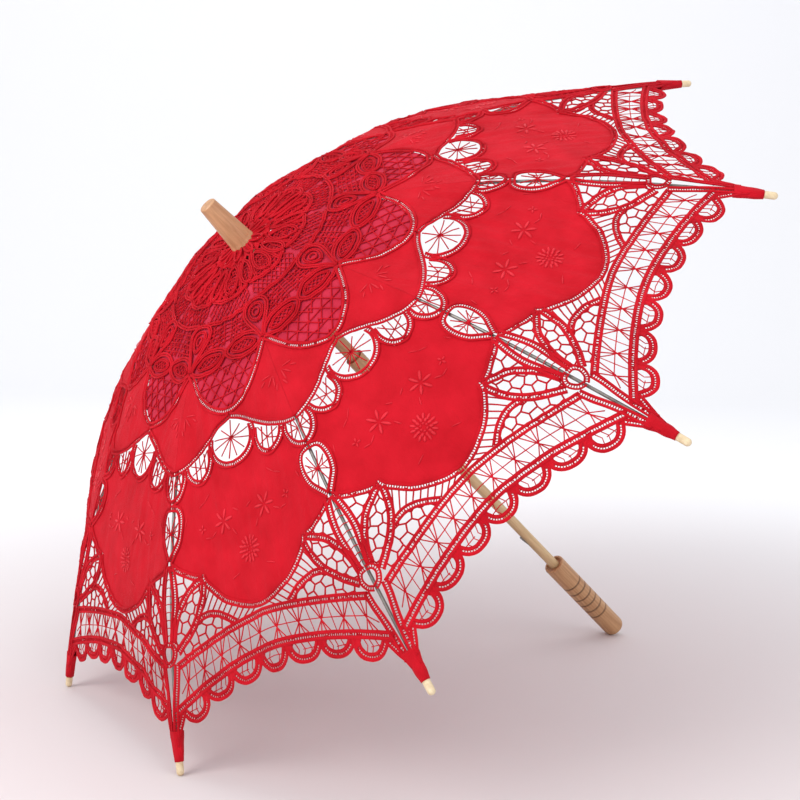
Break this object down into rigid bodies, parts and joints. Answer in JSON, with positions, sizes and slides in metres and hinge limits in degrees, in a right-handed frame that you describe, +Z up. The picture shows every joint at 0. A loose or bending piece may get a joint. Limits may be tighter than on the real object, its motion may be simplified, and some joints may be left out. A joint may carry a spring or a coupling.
{
  "type": "lace parasol",
  "caption": "Open lace parasol on wire ribs and stretchers, with a turned wooden handle, ferrule and rib tips, that folds as its runner slides down the shaft",
  "frame": {"origin": "the middle of the bounding box's footprint, on the floor it stands open on", "axes": "+Z up; +Y across the canopy, parallel to the line through the two lowest rib tips; +X towards the handle's end"},
  "size_m": [0.5656, 0.8014, 0.5644],
  "materials": {
    "shaft_wood": "satin",
    "handle_wood": "satin",
    "ferrule_wood": "satin",
    "tip_wood": "satin",
    "rib_steel": "satin",
    "catch_steel": "bright",
    "hub_wood": "satin",
    "lace": "matte"
  },
  "bodies": {
    "frame": {"shaft": "shaft_wood", "handle": "handle_wood", "ferrule": "ferrule_wood", "spring_catches": "catch_steel", "stop_pin": "catch_steel", "crown": "hub_wood", "crown_wire": "catch_steel", "rosette": "lace"},
    "runner": {"runner": "hub_wood", "runner_wire": "catch_steel"},
    "rib_01": {"rib_01": "rib_steel", "tip_01": "tip_wood"},
    "stretcher_01": {"stretcher_01": "rib_steel"},
    "flap_01_a": {"canopy_01_a": "lace"},
    "flap_01_b": {"canopy_01_b": "lace"},
    "rib_02": {"rib_02": "rib_steel", "tip_02": "tip_wood"},
    "stretcher_02": {"stretcher_02": "rib_steel"},
    "flap_02_a": {"canopy_02_a": "lace"},
    "flap_02_b": {"canopy_02_b": "lace"},
    "rib_03": {"rib_03": "rib_steel", "tip_03": "tip_wood"},
    "stretcher_03": {"stretcher_03": "rib_steel"},
    "flap_03_a": {"canopy_03_a": "lace"},
    "flap_03_b": {"canopy_03_b": "lace"},
    "rib_04": {"rib_04": "rib_steel", "tip_04": "tip_wood"},
    "stretcher_04": {"stretcher_04": "rib_steel"},
    "flap_04_a": {"canopy_04_a": "lace"},
    "flap_04_b": {"canopy_04_b": "lace"},
    "rib_05": {"rib_05": "rib_steel", "tip_05": "tip_wood"},
    "stretcher_05": {"stretcher_05": "rib_steel"},
    "flap_05_a": {"canopy_05_a": "lace"},
    "flap_05_b": {"canopy_05_b": "lace"},
    "rib_06": {"rib_06": "rib_steel", "tip_06": "tip_wood"},
    "stretcher_06": {"stretcher_06": "rib_steel"},
    "flap_06_a": {"canopy_06_a": "lace"},
    "flap_06_b": {"canopy_06_b": "lace"},
    "rib_07": {"rib_07": "rib_steel", "tip_07": "tip_wood"},
    "stretcher_07": {"stretcher_07": "rib_steel"},
    "flap_07_a": {"canopy_07_a": "lace"},
    "flap_07_b": {"canopy_07_b": "lace"},
    "rib_08": {"rib_08": "rib_steel", "tip_08": "tip_wood"},
    "stretcher_08": {"stretcher_08": "rib_steel"},
    "flap_08_a": {"canopy_08_a": "lace"},
    "flap_08_b": {"canopy_08_b": "lace"},
    "rib_09": {"rib_09": "rib_steel", "tip_09": "tip_wood"},
    "stretcher_09": {"stretcher_09": "rib_steel"},
    "flap_09_a": {"canopy_09_a": "lace"},
    "flap_09_b": {"canopy_09_b": "lace"},
    "rib_10": {"rib_10": "rib_steel", "tip_10": "tip_wood"},
    "stretcher_10": {"stretcher_10": "rib_steel"},
    "flap_10_a": {"canopy_10_a": "lace"},
    "flap_10_b": {"canopy_10_b": "lace"}
  },
  "joints": [
    {"name": "runner_slide", "type": "slide", "parent": "frame", "child": "runner", "axis": [0.7381, 0, -0.6747], "range_m": [0, 0.28568]},
    {"name": "rib_hinge_01", "type": "hinge", "parent": "frame", "child": "rib_01", "pos_m": [-0.1662, -0.00263, 0.40066], "axis": [0.2085, -0.9511, 0.2281], "range_deg": [0, 63.29]},
    {"name": "stretcher_hinge_01", "type": "hinge", "parent": "rib_01", "child": "stretcher_01", "pos_m": [-0.25181, -0.06149, 0.23349], "axis": [0.2085, -0.9511, 0.2281], "range_deg": [-126.57, 0]},
    {"name": "fold_01_a", "type": "hinge", "parent": "rib_01", "child": "flap_01_a", "pos_m": [-0.18251, -0.00263, 0.41557], "axis": [-0.1986, -0.2695, -0.9423], "range_deg": [-63.4, 0], "deforming": ["canopy_01_a"]},
    {"name": "fold_01_b", "type": "hinge", "parent": "rib_01", "child": "flap_01_b", "pos_m": [-0.18251, -0.00263, 0.41557], "axis": [-0.1986, -0.2695, -0.9423], "range_deg": [0, 63.4], "deforming": ["canopy_01_b"]},
    {"name": "rib_hinge_02", "type": "hinge", "parent": "frame", "child": "rib_02", "pos_m": [-0.16411, -0.00688, 0.40294], "axis": [0.5459, -0.5878, 0.5971], "range_deg": [0, 63.29]},
    {"name": "stretcher_hinge_02", "type": "hinge", "parent": "rib_02", "child": "stretcher_02", "pos_m": [-0.20304, -0.16098, 0.28684], "axis": [0.5459, -0.5878, 0.5971], "range_deg": [-126.57, 0]},
    {"name": "fold_02_a", "type": "hinge", "parent": "rib_02", "child": "flap_02_a", "pos_m": [-0.18043, -0.00688, 0.41785], "axis": [0.0152, -0.7056, -0.7085], "range_deg": [-63.4, 0], "deforming": ["canopy_02_a"]},
    {"name": "fold_02_b", "type": "hinge", "parent": "rib_02", "child": "flap_02_b", "pos_m": [-0.18043, -0.00688, 0.41785], "axis": [0.0152, -0.7056, -0.7085], "range_deg": [0, 63.4], "deforming": ["canopy_02_b"]},
    {"name": "rib_hinge_03", "type": "hinge", "parent": "frame", "child": "rib_03", "pos_m": [-0.16074, -0.0085, 0.40663], "axis": [0.6747, 0, 0.7381], "range_deg": [0, 63.29]},
    {"name": "stretcher_hinge_03", "type": "hinge", "parent": "rib_03", "child": "stretcher_03", "pos_m": [-0.12413, -0.19898, 0.37316], "axis": [0.6747, 0, 0.7381], "range_deg": [-126.57, 0]},
    {"name": "fold_03_a", "type": "hinge", "parent": "rib_03", "child": "flap_03_a", "pos_m": [-0.17705, -0.0085, 0.42154], "axis": [0.3611, -0.8722, -0.3301], "range_deg": [-63.4, 0], "deforming": ["canopy_03_a"]},
    {"name": "fold_03_b", "type": "hinge", "parent": "rib_03", "child": "flap_03_b", "pos_m": [-0.17705, -0.0085, 0.42154], "axis": [0.3611, -0.8722, -0.3301], "range_deg": [0, 63.4], "deforming": ["canopy_03_b"]},
    {"name": "rib_hinge_04", "type": "hinge", "parent": "frame", "child": "rib_04", "pos_m": [-0.15737, -0.00688, 0.41032], "axis": [0.5459, 0.5878, 0.5971], "range_deg": [0, 63.29]},
    {"name": "stretcher_hinge_04", "type": "hinge", "parent": "rib_04", "child": "stretcher_04", "pos_m": [-0.04522, -0.16098, 0.45948], "axis": [0.5459, 0.5878, 0.5971], "range_deg": [-126.57, 0]},
    {"name": "fold_04_a", "type": "hinge", "parent": "rib_04", "child": "flap_04_a", "pos_m": [-0.17368, -0.00688, 0.42523], "axis": [0.707, -0.7056, 0.0483], "range_deg": [-63.4, 0], "deforming": ["canopy_04_a"]},
    {"name": "fold_04_b", "type": "hinge", "parent": "rib_04", "child": "flap_04_b", "pos_m": [-0.17368, -0.00688, 0.42523], "axis": [0.707, -0.7056, 0.0483], "range_deg": [0, 63.4], "deforming": ["canopy_04_b"]},
    {"name": "rib_hinge_05", "type": "hinge", "parent": "frame", "child": "rib_05", "pos_m": [-0.15529, -0.00263, 0.4126], "axis": [0.2085, 0.9511, 0.2281], "range_deg": [0, 63.29]},
    {"name": "stretcher_hinge_05", "type": "hinge", "parent": "rib_05", "child": "stretcher_05", "pos_m": [0.00355, -0.06149, 0.51283], "axis": [0.2085, 0.9511, 0.2281], "range_deg": [-126.57, 0]},
    {"name": "fold_05_a", "type": "hinge", "parent": "rib_05", "child": "flap_05_a", "pos_m": [-0.1716, -0.00263, 0.42751], "axis": [0.9207, -0.2695, 0.2821], "range_deg": [-63.4, 0], "deforming": ["canopy_05_a"]},
    {"name": "fold_05_b", "type": "hinge", "parent": "rib_05", "child": "flap_05_b", "pos_m": [-0.1716, -0.00263, 0.42751], "axis": [0.9207, -0.2695, 0.2821], "range_deg": [0, 63.4], "deforming": ["canopy_05_b"]},
    {"name": "rib_hinge_06", "type": "hinge", "parent": "frame", "child": "rib_06", "pos_m": [-0.15529, 0.00263, 0.4126], "axis": [-0.2085, 0.9511, -0.2281], "range_deg": [0, 63.29]},
    {"name": "stretcher_hinge_06", "type": "hinge", "parent": "rib_06", "child": "stretcher_06", "pos_m": [0.00355, 0.06149, 0.51283], "axis": [-0.2085, 0.9511, -0.2281], "range_deg": [-126.57, 0]},
    {"name": "fold_06_a", "type": "hinge", "parent": "rib_06", "child": "flap_06_a", "pos_m": [-0.1716, 0.00263, 0.42751], "axis": [0.9207, 0.2695, 0.2821], "range_deg": [-63.4, 0], "deforming": ["canopy_06_a"]},
    {"name": "fold_06_b", "type": "hinge", "parent": "rib_06", "child": "flap_06_b", "pos_m": [-0.1716, 0.00263, 0.42751], "axis": [0.9207, 0.2695, 0.2821], "range_deg": [0, 63.4], "deforming": ["canopy_06_b"]},
    {"name": "rib_hinge_07", "type": "hinge", "parent": "frame", "child": "rib_07", "pos_m": [-0.15737, 0.00688, 0.41032], "axis": [-0.5459, 0.5878, -0.5971], "range_deg": [0, 63.29]},
    {"name": "stretcher_hinge_07", "type": "hinge", "parent": "rib_07", "child": "stretcher_07", "pos_m": [-0.04522, 0.16098, 0.45948], "axis": [-0.5459, 0.5878, -0.5971], "range_deg": [-126.57, 0]},
    {"name": "fold_07_a", "type": "hinge", "parent": "rib_07", "child": "flap_07_a", "pos_m": [-0.17368, 0.00688, 0.42523], "axis": [0.707, 0.7056, 0.0483], "range_deg": [-63.4, 0], "deforming": ["canopy_07_a"]},
    {"name": "fold_07_b", "type": "hinge", "parent": "rib_07", "child": "flap_07_b", "pos_m": [-0.17368, 0.00688, 0.42523], "axis": [0.707, 0.7056, 0.0483], "range_deg": [0, 63.4], "deforming": ["canopy_07_b"]},
    {"name": "rib_hinge_08", "type": "hinge", "parent": "frame", "child": "rib_08", "pos_m": [-0.16074, 0.0085, 0.40663], "axis": [-0.6747, 0, -0.7381], "range_deg": [0, 63.29]},
    {"name": "stretcher_hinge_08", "type": "hinge", "parent": "rib_08", "child": "stretcher_08", "pos_m": [-0.12413, 0.19898, 0.37316], "axis": [-0.6747, 0, -0.7381], "range_deg": [-126.57, 0]},
    {"name": "fold_08_a", "type": "hinge", "parent": "rib_08", "child": "flap_08_a", "pos_m": [-0.17705, 0.0085, 0.42154], "axis": [0.3611, 0.8722, -0.3301], "range_deg": [-63.4, 0], "deforming": ["canopy_08_a"]},
    {"name": "fold_08_b", "type": "hinge", "parent": "rib_08", "child": "flap_08_b", "pos_m": [-0.17705, 0.0085, 0.42154], "axis": [0.3611, 0.8722, -0.3301], "range_deg": [0, 63.4], "deforming": ["canopy_08_b"]},
    {"name": "rib_hinge_09", "type": "hinge", "parent": "frame", "child": "rib_09", "pos_m": [-0.16411, 0.00688, 0.40294], "axis": [-0.5459, -0.5878, -0.5971], "range_deg": [0, 63.29]},
    {"name": "stretcher_hinge_09", "type": "hinge", "parent": "rib_09", "child": "stretcher_09", "pos_m": [-0.20304, 0.16098, 0.28684], "axis": [-0.5459, -0.5878, -0.5971], "range_deg": [-126.57, 0]},
    {"name": "fold_09_a", "type": "hinge", "parent": "rib_09", "child": "flap_09_a", "pos_m": [-0.18043, 0.00688, 0.41785], "axis": [0.0152, 0.7056, -0.7085], "range_deg": [-63.4, 0], "deforming": ["canopy_09_a"]},
    {"name": "fold_09_b", "type": "hinge", "parent": "rib_09", "child": "flap_09_b", "pos_m": [-0.18043, 0.00688, 0.41785], "axis": [0.0152, 0.7056, -0.7085], "range_deg": [0, 63.4], "deforming": ["canopy_09_b"]},
    {"name": "rib_hinge_10", "type": "hinge", "parent": "frame", "child": "rib_10", "pos_m": [-0.1662, 0.00263, 0.40066], "axis": [-0.2085, -0.9511, -0.2281], "range_deg": [0, 63.29]},
    {"name": "stretcher_hinge_10", "type": "hinge", "parent": "rib_10", "child": "stretcher_10", "pos_m": [-0.25181, 0.06149, 0.23349], "axis": [-0.2085, -0.9511, -0.2281], "range_deg": [-126.57, 0]},
    {"name": "fold_10_a", "type": "hinge", "parent": "rib_10", "child": "flap_10_a", "pos_m": [-0.18251, 0.00263, 0.41557], "axis": [-0.1986, 0.2695, -0.9423], "range_deg": [-63.4, 0], "deforming": ["canopy_10_a"]},
    {"name": "fold_10_b", "type": "hinge", "parent": "rib_10", "child": "flap_10_b", "pos_m": [-0.18251, 0.00263, 0.41557], "axis": [-0.1986, 0.2695, -0.9423], "range_deg": [0, 63.4], "deforming": ["canopy_10_b"]}
  ],
  "couplings": [
    {"joint": "rib_hinge_01", "follows": "runner_slide", "rad_per_m": 3.8664},
    {"joint": "stretcher_hinge_01", "follows": "runner_slide", "rad_per_m": -7.7327},
    {"joint": "fold_01_a", "follows": "runner_slide", "rad_per_m": -3.8734},
    {"joint": "fold_01_b", "follows": "runner_slide", "rad_per_m": 3.8734},
    {"joint": "rib_hinge_02", "follows": "runner_slide", "rad_per_m": 3.8664},
    {"joint": "stretcher_hinge_02", "follows": "runner_slide", "rad_per_m": -7.7327},
    {"joint": "fold_02_a", "follows": "runner_slide", "rad_per_m": -3.8734},
    {"joint": "fold_02_b", "follows": "runner_slide", "rad_per_m": 3.8734},
    {"joint": "rib_hinge_03", "follows": "runner_slide", "rad_per_m": 3.8664},
    {"joint": "stretcher_hinge_03", "follows": "runner_slide", "rad_per_m": -7.7327},
    {"joint": "fold_03_a", "follows": "runner_slide", "rad_per_m": -3.8734},
    {"joint": "fold_03_b", "follows": "runner_slide", "rad_per_m": 3.8734},
    {"joint": "rib_hinge_04", "follows": "runner_slide", "rad_per_m": 3.8664},
    {"joint": "stretcher_hinge_04", "follows": "runner_slide", "rad_per_m": -7.7327},
    {"joint": "fold_04_a", "follows": "runner_slide", "rad_per_m": -3.8734},
    {"joint": "fold_04_b", "follows": "runner_slide", "rad_per_m": 3.8734},
    {"joint": "rib_hinge_05", "follows": "runner_slide", "rad_per_m": 3.8664},
    {"joint": "stretcher_hinge_05", "follows": "runner_slide", "rad_per_m": -7.7327},
    {"joint": "fold_05_a", "follows": "runner_slide", "rad_per_m": -3.8734},
    {"joint": "fold_05_b", "follows": "runner_slide", "rad_per_m": 3.8734},
    {"joint": "rib_hinge_06", "follows": "runner_slide", "rad_per_m": 3.8664},
    {"joint": "stretcher_hinge_06", "follows": "runner_slide", "rad_per_m": -7.7327},
    {"joint": "fold_06_a", "follows": "runner_slide", "rad_per_m": -3.8734},
    {"joint": "fold_06_b", "follows": "runner_slide", "rad_per_m": 3.8734},
    {"joint": "rib_hinge_07", "follows": "runner_slide", "rad_per_m": 3.8664},
    {"joint": "stretcher_hinge_07", "follows": "runner_slide", "rad_per_m": -7.7327},
    {"joint": "fold_07_a", "follows": "runner_slide", "rad_per_m": -3.8734},
    {"joint": "fold_07_b", "follows": "runner_slide", "rad_per_m": 3.8734},
    {"joint": "rib_hinge_08", "follows": "runner_slide", "rad_per_m": 3.8664},
    {"joint": "stretcher_hinge_08", "follows": "runner_slide", "rad_per_m": -7.7327},
    {"joint": "fold_08_a", "follows": "runner_slide", "rad_per_m": -3.8734},
    {"joint": "fold_08_b", "follows": "runner_slide", "rad_per_m": 3.8734},
    {"joint": "rib_hinge_09", "follows": "runner_slide", "rad_per_m": 3.8664},
    {"joint": "stretcher_hinge_09", "follows": "runner_slide", "rad_per_m": -7.7327},
    {"joint": "fold_09_a", "follows": "runner_slide", "rad_per_m": -3.8734},
    {"joint": "fold_09_b", "follows": "runner_slide", "rad_per_m": 3.8734},
    {"joint": "rib_hinge_10", "follows": "runner_slide", "rad_per_m": 3.8664},
    {"joint": "stretcher_hinge_10", "follows": "runner_slide", "rad_per_m": -7.7327},
    {"joint": "fold_10_a", "follows": "runner_slide", "rad_per_m": -3.8734},
    {"joint": "fold_10_b", "follows": "runner_slide", "rad_per_m": 3.8734}
  ]
}
